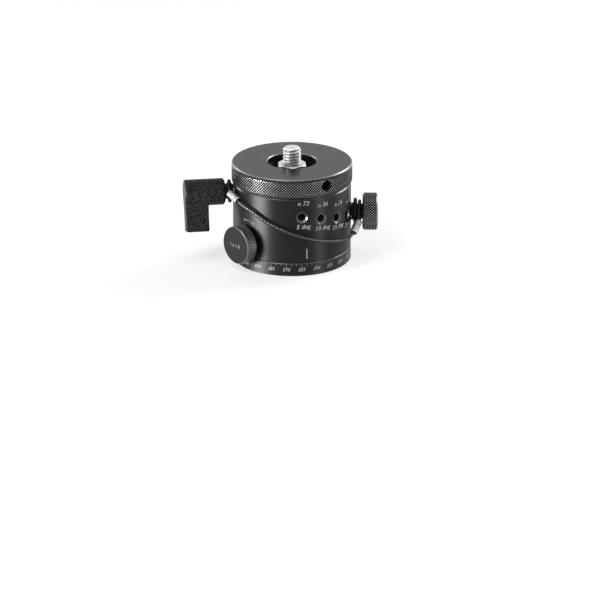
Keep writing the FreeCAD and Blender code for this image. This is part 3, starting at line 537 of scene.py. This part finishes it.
def stud():
    """The threaded stud, with a marked top end and a plain foot in the hub."""
    core, thread_low, end_radius = 3.86, 50.0, STUD_RADIUS - 1.0
    foot_radius, foot_top, foot_corner = 4.7, 49.6, 1.0
    face, mark, mark_depth, mark_edge = 3.3, 1.5, 0.75, 0.12
    angles = even_angles(64)
    bm = bmesh.new()
    low, high = thread(bm, STUD_RADIUS - 0.02, core, STUD_PITCH, thread_low, STUD_TOP,
                       len(angles), lambda height: end_radius + (STUD_TOP - height))
    cap = [(face, STUD_TOP), (mark, STUD_TOP), (mark - 0.2, STUD_TOP - mark_edge),
           (0, STUD_TOP - mark_depth)]
    start, _ = turned(bm, cap, angles)
    join(bm, high, start)
    foot = [(0, STUD_LOW), (foot_radius - foot_corner, STUD_LOW),
            (foot_radius, STUD_LOW + foot_corner), (foot_radius, foot_top)]
    _, end = turned(bm, foot, angles)
    join(bm, end, low)
    # the thread's roots and lower flanks take the darker material, painted shade in the hollows
    piece("threaded_stud", bm, (stainless, thread_root_painted_shade), "turntable", "stud", sharp=40)


# ---------------------------------------------------------------- knobs and lever
def plunger_knob():
    start, end, bore, bore_end, radius, corner = 37.1, 45.0, 4.15, 41.0, 9.8, 0.8
    face_radius, face_depth = 6.95, 0.25
    lip = 0.15
    knurl = Knurl(radius, start + corner, end - corner, starts=42, depth=0.34, flat=0.4)
    below = [(0, bore_end), (bore, bore_end), (bore, start), (radius - corner, start),
             (radius - lip, start + corner - lip)]
    above = [(radius - lip, end - corner + lip), (radius - corner, end),
             (face_radius + face_depth, end), (face_radius, end - face_depth),
             (0, end - face_depth)]
    # The knurl's flanks take a darker material: painted shade between the diamonds.
    piece("knurled_plunger_knob", knurled_solid(below, knurl, above),
          (knob_black, knob_crest, machined_edge, knob_root_painted_shade), "plunger_knob", "plunger_knob",
          radial(PLUNGER_AZIMUTH, PLUNGER_HEIGHT))


def lock_knob():
    start, bore, bore_end, radius, corner = 32.8, 3.0, 36.05, 10.0, 0.5
    neck, neck_start = 5.0, 31.3
    lip = 0.1
    knurl = Knurl(radius, start + corner, LOCK_FACE - corner, starts=43, depth=0.34, flat=0.42)
    below = [(0, bore_end), (bore, bore_end), (bore, neck_start), (neck, neck_start),
             (neck, start), (radius - corner, start), (radius - lip, start + corner - lip)]
    above = [(radius - lip, LOCK_FACE - corner + lip), (radius - corner, LOCK_FACE),
             (0, LOCK_FACE)]
    piece("knurled_lock_knob", knurled_solid(below, knurl, above),
          (knob_black, knob_crest, machined_edge, lock_root), "lock_knob", "lock_knob",
          radial(LOCK_AZIMUTH, LOCK_HEIGHT))


def lever_handle():
    """The moulded handle: the solid's mesh with every edge softened."""
    thing = new_object("handle", frame["nodes"]["lever_handle"].data.copy())
    remesh = thing.modifiers.new("remesh", "REMESH")
    remesh.mode = "VOXEL"
    remesh.voxel_size = 0.30 * MM
    smooth = thing.modifiers.new("smooth", "SMOOTH")
    smooth.factor, smooth.iterations = 0.5, 5
    bm = bmesh.new()
    bm.from_mesh(evaluated(thing))
    bpy.data.objects.remove(thing)
    bm.transform(Matrix.Scale(1 / MM, 4))
    piece("moulded_lever", bm, (lever_plastic,), "lever", "lever_handle", sharp=60)


# ---------------------------------------------------------------- index holes
def hole_at(row):
    """An index hole's azimuth and height."""
    return FIRST_HOLE_AZIMUTH + HOLE_TURN * row, FIRST_HOLE_HEIGHT - HOLE_FALL * row


def in_open_holes(shape):
    """A shape's mesh in each index hole but the plunger's."""
    rows = [row for row in range(len(CLICKS)) if row != PLUNGER_ROW]
    return gather([(shape(), radial(*hole_at(row))) for row in rows])


def countersink():
    """The bright cone at a hole's mouth, cut off where it meets the round of the housing."""
    thickness, inner_depth = 0.05, HOUSING_RADIUS - 0.75
    guess, rounds = 3.2, 8
    bm = bmesh.new()
    rings = [[], [], [], []]
    for angle in even_angles(48):
        radius = guess
        for _ in range(rounds):
            depth = math.sqrt(HOUSING_RADIUS**2 - (radius * math.cos(angle)) ** 2)
            radius = HOLE_RADIUS + depth - inner_depth
        corners = ((HOLE_RADIUS, inner_depth), (radius, depth), (radius - thickness, depth),
                   (HOLE_RADIUS - thickness, inner_depth))
        for ring, (r, height) in zip(rings, corners):
            ring.append(bm.verts.new((r * math.cos(angle), r * math.sin(angle), height)))
    for k, ring in enumerate(rings):
        join(bm, ring, rings[(k + 1) % len(rings)])
    return bm


def hole_thread():
    """The thread inside an index hole, as a sleeve set into its wall."""
    low, high, pitch, angles = 23.0, 30.2, 0.8, even_angles(32)
    outside, crest, root = HOLE_RADIUS + 0.03, HOLE_RADIUS - 0.01, HOLE_RADIUS - 0.4
    bm = bmesh.new()
    bottom, top = thread(bm, crest, root, pitch, low, high, len(angles))
    start, end = turned(bm, [(outside, low), (outside, high)], angles)
    join(bm, start, bottom)
    join(bm, top, end)
    return bm


def index_holes():
    piece("index_hole_rims", in_open_holes(countersink), (hole_edge,), "housing")
    # The threads' roots take black_steel, darker than the housing: painted shade inside the holes.
    piece("index_hole_threads", in_open_holes(hole_thread), (hole_edge, black_steel), "housing")


# ---------------------------------------------------------------- numbers and marks
PRINT_THICKNESS = 0.05
CAPITAL_SHARE = 0.73  # a capital's height against the font's size
ITALIC = 0.2


def on_housing(bm, azimuth, height):
    """Wraps flat artwork, drawn in X and Y with its thickness in Z, onto the housing's round."""
    for vertex in bm.verts:
        angle = math.radians(azimuth) + vertex.co.x / HOUSING_RADIUS
        out = HOUSING_RADIUS + vertex.co.z
        vertex.co = (out * math.sin(angle), -out * math.cos(angle), height + vertex.co.y)
    return bm


def words(text, height, slant=0.0, spread=1.0):
    """The text as a thin solid, centred, with capitals of that height."""
    curve = bpy.data.curves.new("words", "FONT")
    curve.body = text
    curve.align_x, curve.align_y = "CENTER", "CENTER"
    curve.size = height / CAPITAL_SHARE
    curve.extrude = PRINT_THICKNESS / 2
    curve.shear = slant
    curve.space_character = spread
    curve.resolution_u = 3
    mesh = curve_mesh(curve)
    bm = bmesh.new()
    bm.from_mesh(mesh)
    bpy.data.meshes.remove(mesh)
    return bm


def block(width, height):
    """A thin rectangle, centred."""
    bm = bmesh.new()
    bmesh.ops.create_cube(bm, size=1)
    bm.transform(Matrix.Diagonal((width, height, PRINT_THICKNESS, 1)))
    return bm


def printed(name, parts, paint, body):
    """One piece of several marks that are already in place."""
    piece(name, gather([(bm, Matrix()) for bm in parts]), (paint,), body)


def lock_word():
    word = words("lock", 2.3, spread=1.5)
    word.transform(Matrix.Translation((0, 0, LOCK_FACE + 0.01)))
    word.transform(radial(LOCK_AZIMUTH, LOCK_HEIGHT))
    printed("lock_word", [word], faint_paint, "lock_knob")


def lock_direction():
    """The turning mark over the lock knob: an arc with an arrowhead at each end."""
    radius, half_width, first, last, steps = 12.1, 0.13, -8.0, 19.0, 12
    arrow_half_width, arrow_turn = 0.6, 6

    def point(r, angle):
        return bm.verts.new((r * math.sin(angle), r * math.cos(angle), PRINT_THICKNESS / 2))

    bm = bmesh.new()
    strip = []
    for k in range(steps + 1):
        angle = math.radians(first + (last - first) * k / steps)
        strip += [point(radius - half_width, angle), point(radius + half_width, angle)]
    for k in range(0, 2 * steps, 2):
        bm.faces.new((strip[k], strip[k + 2], strip[k + 3], strip[k + 1]))
    for end, way in ((first, -1), (last, 1)):
        root, tip = math.radians(end), math.radians(end + way * arrow_turn)
        bm.faces.new((point(radius - arrow_half_width, root), point(radius, tip),
                      point(radius + arrow_half_width, root)))
    solid = bmesh.ops.extrude_face_region(bm, geom=bm.faces[:])["geom"]
    moved = [part for part in solid if isinstance(part, bmesh.types.BMVert)]
    bmesh.ops.translate(bm, verts=moved, vec=(0, 0, -PRINT_THICKNESS))
    piece("lock_direction", on_housing(bm, LOCK_AZIMUTH, LOCK_HEIGHT), (faint_paint,), "housing")


def housing_numbers():
    """Each index hole's clicks above it and its angle below it, and the index line."""
    letters, turn, above, below = 2.5, 1.5, 7.4, 5.3
    line_width, line_height, line_azimuth, line_middle = 0.46, 5.6, 15.0, 12.2
    parts = []
    for row, count in enumerate(CLICKS):
        azimuth, height = hole_at(row)
        for text, middle in (("n %d" % count, height + above),
                             ("%d deg" % (360 // count), height - below)):
            parts.append(on_housing(words(text, letters, ITALIC), azimuth + turn, middle))
    parts.append(on_housing(block(line_width, line_height), line_azimuth, line_middle))
    printed("housing_numbers", parts, grey_paint, "housing")


def scale():
    """The base's degree scale, which reads 250 at the index line."""
    zero_azimuth, mark_top, mark_width, long_mark, short_mark = 265.0, 6.6, 0.26, 1.55, 0.9
    step, label_step, figures, figures_middle = 5, 15, 1.9, 3.6
    numbers, marks = [], []
    for value in range(0, 360, step):
        azimuth, labelled = zero_azimuth - value, value % label_step == 0
        length = long_mark if labelled else short_mark
        marks.append(on_housing(block(mark_width, length), azimuth, mark_top - length / 2))
        if labelled:
            text = words("%d" % value, figures, ITALIC)
            numbers.append(on_housing(text, azimuth, figures_middle))
    printed("scale_numbers", numbers, grey_paint, "base")
    printed("scale_marks", marks, faint_paint, "base")


# ---------------------------------------------------------------- tether
STRANDS = 6
ROPE_STEP = 0.35  # from one ring of a rope's skin to the next


def smooth_line(points):
    """The points, in metres, of a NURBS line through the route."""
    curve = bpy.data.curves.new("route", "CURVE")
    curve.dimensions = "3D"
    spline = curve.splines.new("NURBS")
    spline.points.add(len(points) - 1)
    for slot, point in zip(spline.points, points):
        slot.co = [c * MM for c in point] + [1]
    spline.order_u = 3
    spline.use_endpoint_u = True
    spline.resolution_u = 24
    return [vertex.co.copy() for vertex in curve_mesh(curve).vertices]


def evenly(line, spacing):
    """Points a set distance apart along a line."""
    lengths = [0.0]
    for start, end in zip(line, line[1:]):
        lengths.append(lengths[-1] + (end - start).length)
    count = max(2, round(lengths[-1] / spacing))
    found, k = [], 0
    for step in range(count + 1):
        target = lengths[-1] * step / count
        while k < len(line) - 2 and lengths[k + 1] < target:
            k += 1
        share = (target - lengths[k]) / max(lengths[k + 1] - lengths[k], 1e-9)
        found.append(line[k].lerp(line[k + 1], min(1.0, share)))
    return found


def stranded(line, diameter, strands=STRANDS, relief=0.3):
    """A coated wire rope round a line in millimetres: one closed skin over twisted strands.

    The relief is how far the strands show through the coat. One strand is a plain round wire.
    """
    lay, around = 6.0, 8
    strand, centre = diameter / 6, diameter / 3
    bm = bmesh.new()
    normal, rings, travelled = None, [], 0.0
    for k, point in enumerate(line):
        before, after = line[max(0, k - 1)], line[min(len(line) - 1, k + 1)]
        along = (after - before).normalized()
        if normal is None:
            normal = along.orthogonal().normalized()
        normal = (normal - along * normal.dot(along)).normalized()
        side = along.cross(normal)
        if k < len(line) - 1:
            travelled += (point - before).length
        ring = []
        for j in range(strands * around):
            lobe = ((j % around) / around - 0.5) * TAU / strands
            hidden = max(0.0, strand**2 - (centre * math.sin(lobe)) ** 2)
            bare = centre * math.cos(lobe) + math.sqrt(hidden)
            radius = diameter / 2 * (1 - relief) + bare * relief
            angle = (j / around) * TAU / strands + TAU * travelled / lay
            out = normal * math.cos(angle) + side * math.sin(angle)
            ring.append(bm.verts.new(point + out * radius))
        rings.append(ring)
    for low, high in zip(rings, rings[1:]):
        join(bm, low, high)
    bm.faces.new(rings[0])
    bm.faces.new(rings[-1])
    return bm


def stripe_painted_glints(bm):
    """Gives every second strand of a rope the second material, a more reflective metal, as painted
    glints where the twisted strands would catch the light.
    """
    faces = list(bm.faces)
    count = len(faces[-1].verts)
    for k, face in enumerate(faces[:-2]):
        face.material_index = k % count * STRANDS // count % 2
    return bm


def tether():
    """The cable between the ferrules, the line it follows and its length, both in metres."""
    path = evenly(smooth_line(TETHER), ROPE_STEP * MM)
    bm = stripe_painted_glints(stranded([point / MM for point in path], CABLE_DIAMETER))
    cable = piece("tether_rope", bm, (cable_coat, cable_painted_glint), stands_for="tether_cable")
    length = sum((b - a).length for a, b in zip(path, path[1:]))
    return cable, path, length


def outwards(route):
    """A cable end's place, and the direction that leads out of it, from its first two points."""
    end, before = Vector(route[0]), Vector(route[1])
    return end, (end - before).normalized()


def eye_line(centre, plane_x, plane_y, mouth):
    """The line of an eye: out of the ferrule's mouth, round a neck and back."""
    steps = 80
    away = mouth - centre
    away = Vector((away.dot(plane_x), away.dot(plane_y)))
    base = math.atan2(away.y, away.x)
    spread = math.acos(min(1.0, EYE_RADIUS / away.length))
    turns = [base + spread + (TAU - 2 * spread) * k / steps for k in range(steps + 1)]
    ring = [centre + (plane_x * math.cos(a) + plane_y * math.sin(a)) * EYE_RADIUS for a in turns]
    side = (ring[0] - ring[-1]).normalized() * CABLE_DIAMETER * 0.5
    return [mouth + side] + ring + [mouth - side]


def eye(name, route, body, stands_for, place, distance, turn=0.0, lean=0.0):
    """The eye of rope round a knob's or lever's neck, at a distance out along the place's Z.

    It is turned about the place's Y, leans about its X and starts a little inside the ferrule.
    """
    sunk = 0.8
    cable_end, outward = outwards(route)
    mouth = cable_end + outward * (FERRULE_LENGTH - sunk)
    turn, lean = math.radians(turn), math.radians(lean)
    flat = place.to_3x3()
    across = flat @ Vector((math.cos(turn), 0, math.sin(turn)))
    upwards = flat @ Vector((0, math.cos(lean), math.sin(lean)))
    line = eye_line(place @ Vector((0, 0, distance)), across, upwards, mouth)
    bm = stranded(evenly(line, ROPE_STEP), CABLE_DIAMETER)
    return piece(name, bm, (cable_coat,), body, stands_for)


def ferrule(name, route, body, stands_for):
    """An oval crimp sleeve: a hollow mouth for the cable, two crimps and a rounded far end.

    Its stations are places along the axis, and how far the skin lies inside the full oval there.
    """
    half_wide, half_thin = 2.15, 1.8
    start, mouth_depth, mouth_inset = -1.3, 2.2, 0.42
    crimps, crimp_depth, crimp_width = (1.6, 4.3), 0.16, 0.5
    first, last, steps = start + 0.3, FERRULE_LENGTH - 0.5, 40
    cable_end, axis = outwards(route)
    thin = axis.cross(Vector((cable_end.x, cable_end.y, 0))).normalized()
    wide = axis.cross(thin)
    stations = [(start + mouth_depth, mouth_inset), (start, mouth_inset), (start, 0.1),
                (start + 0.1, 0.0)]
    for k in range(steps + 1):
        place = first + (last - first) * k / steps
        dent = sum(math.exp(-((place - middle) / crimp_width) ** 2) for middle in crimps)
        stations.append((place, crimp_depth * dent))
    stations += [(FERRULE_LENGTH - 0.25, 0.12), (FERRULE_LENGTH - 0.06, 0.35),
                 (FERRULE_LENGTH, 0.7)]
    bm = bmesh.new()
    rings = []
    for place, inset in stations:
        middle = cable_end + axis * place
        across, through = wide * (half_wide - inset), thin * (half_thin - inset)
        rings.append([bm.verts.new(middle + across * math.cos(a) + through * math.sin(a))
                      for a in even_angles(40)])
    # The mouth's floor and inner wall take black_steel: painted shade inside the hollow mouth.
    bm.faces.new(rings[0])
    join(bm, rings[0], rings[1])
    for face in bm.faces:
        face.material_index = 1
    for low, high in zip(rings[1:], rings[2:]):
        join(bm, low, high)
    bm.faces.new(rings[-1])
    return piece(name, bm, (crimp_aluminium, black_steel), body, stands_for, sharp=50)


def whole_tether():
    """The cable with its ferrules and eyes, from lever to plunger."""
    cable, path, length = tether()
    at_lever, at_plunger = TETHER[:2], TETHER[:-3:-1]
    lever_neck = radial(LEVER_AZIMUTH, LEVER_HEIGHT)
    plunger_neck = radial(PLUNGER_AZIMUTH, PLUNGER_HEIGHT)
    on_cable = [
        ferrule("crimp_at_lever", at_lever, "housing", "lever_ferrule"),
        ferrule("crimp_at_plunger", at_plunger, "plunger_core", "plunger_ferrule"),
        eye("eye_at_lever", at_lever, "housing", "lever_loop", lever_neck, distance=33.1,
            turn=12.0, lean=4.0),
        eye("eye_at_plunger", at_plunger, "plunger_core", "plunger_loop", plunger_neck,
            distance=35.5),
    ]
    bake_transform(cable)


def spring():
    """The plunger's coil, its end turns closed."""
    wire_radius, radius, start, end, turns, steps = 0.19, 1.24, 26.3, 34.95, 11, 24
    closing = 0.55  # 0 is an even pitch, 1 ends with no pitch at all
    low, high = start + wire_radius, end - wire_radius
    line = []
    for k in range(turns * steps + 1):
        share = k / (turns * steps)
        rise = share - math.sin(TAU * share) / TAU * closing
        angle = TAU * turns * share
        line.append(Vector((radius * math.cos(angle), radius * math.sin(angle),
                            low + (high - low) * rise)))
    place = radial(PLUNGER_AZIMUTH, PLUNGER_HEIGHT)
    bm = stranded([place @ point for point in line], 2 * wire_radius, strands=1, relief=0.0)
    coil = piece("plunger_coil", bm, (stainless,), "plunger_core", "plunger_spring")
    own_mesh(coil)


# ---------------------------------------------------------------- camera, light and floor
PHOTO_WIDTH = 600
FOCAL_LENGTH = 3469.7  # in the photograph's pixels, as are the next two
VIEW_CENTRE_X, VIEW_CENTRE_Y = 291.95, 209.37
VIEW_DOWN, VIEW_ROUND, VIEW_DISTANCE = 19.585, 0.55, 1.823
VIEW_TARGET = (0, 0, 0.026)
LAMP_TARGET = (0, 0, 0.03)
WORLD_STRENGTH = 0.2
FLOOR_COLOR = (0.65, 0.65, 0.65, 1)
FLOOR_GLOW = 0.5
WHITE = (1, 1, 1, 1)


def aim(thing, place, target):
    thing.location = place
    thing.rotation_euler = (Vector(target) - Vector(place)).to_track_quat("-Z", "Y").to_euler()


def camera():
    """The photograph's view: 19.6 degrees down, 0.55 degrees to the right of -Y, from 1.82 m."""
    data = bpy.data.cameras.new("camera")
    data.sensor_width = 36.0
    data.lens = FOCAL_LENGTH / PHOTO_WIDTH * data.sensor_width
    data.shift_x = (PHOTO_WIDTH / 2 - VIEW_CENTRE_X) / PHOTO_WIDTH
    data.shift_y = (VIEW_CENTRE_Y - PHOTO_WIDTH / 2) / PHOTO_WIDTH
    data.clip_end = 20
    thing = new_object("camera", data)
    down, around = math.radians(VIEW_DOWN), math.radians(VIEW_ROUND)
    back = Vector((math.sin(around) * math.cos(down), -math.cos(around) * math.cos(down),
                   math.sin(down)))
    aim(thing, Vector(VIEW_TARGET) + back * VIEW_DISTANCE, VIEW_TARGET)
    bpy.context.scene.camera = thing


def lamp(name, place, size, power, diffuse=True):
    """A soft box. Without diffuse it shows only in what shines, and lights no colour."""
    data = bpy.data.lights.new(name, "AREA")
    data.shape = "RECTANGLE"
    data.size, data.size_y = size
    data.energy = power
    thing = new_object(name, data)
    thing.visible_diffuse = diffuse
    aim(thing, place, LAMP_TARGET)


def seen(tree):
    """1 on camera, mirror and glass rays, for the background's white."""
    path = node(tree, "LightPath")
    total = path.outputs["Is Camera Ray"]
    for name in ("Is Glossy Ray", "Is Transmission Ray"):
        most = node(tree, "Math", operation="MAXIMUM")
        link(tree, total, most.inputs[0])
        link(tree, path.outputs[name], most.inputs[1])
        total = most.outputs[0]
    return total


def world():
    scene = bpy.context.scene
    scene.world = scene.world or bpy.data.worlds.new("world")
    scene.world.use_nodes = True
    tree = scene.world.node_tree
    background = tree.nodes["Background"]
    set_inputs(background, Color=WHITE)
    level = node(tree, "MapRange")
    set_inputs(level, To_Min=WORLD_STRENGTH, To_Max=1.0)
    link(tree, seen(tree), level.inputs["Value"])
    link(tree, level.outputs["Result"], background.inputs["Strength"])


def floor():
    """The ground, a little lower than the base's face so that the two don't share a plane."""
    bm = bmesh.new()
    bmesh.ops.create_grid(bm, x_segments=1, y_segments=1, size=6)
    mesh = into_mesh("floor", bm)
    thing = new_object("floor", mesh)
    thing.location.z = -0.00002
    material = bpy.data.materials.new("floor")
    material.use_nodes = True
    tree = material.node_tree
    shader = tree.nodes["Principled BSDF"]
    set_inputs(shader, Base_Color=FLOOR_COLOR, Roughness=0.9, Specular_IOR_Level=0.1,
               Emission_Color=WHITE)
    glow = node(tree, "Math", FLOOR_GLOW, operation="MULTIPLY")
    link(tree, seen(tree), glow.inputs[0])
    link(tree, glow.outputs[0], shader.inputs["Emission Strength"])
    mesh.materials.append(material)


camera()
whole_tether()
top_disc()
stud()
plunger_knob()
lock_knob()
lock_word()
lever_handle()
index_holes()
housing_numbers()
lock_direction()
scale()
spring()
world()
floor()
lamp("key", (-0.6, -0.32, 0.07), (0.16, 0.12), 5.5)
lamp("sheen", (-0.6, -0.32, 0.07), (0.34, 0.12), 14.5, diffuse=False)
lamp("side", (0.57, -0.41, 0.11), (0.14, 0.2), 2.3)
lamp("fill", (-0.35, -0.5, 0.75), (0.4, 0.4), 2)
lamp("rim_right", (0.66, 0.4, 0.43), (0.4, 0.3), 4.5)
lamp("rim_left", (-0.63, 0.485, 0.27), (0.2, 0.5), 2)

bpy.context.scene.view_settings.view_transform = "Standard"
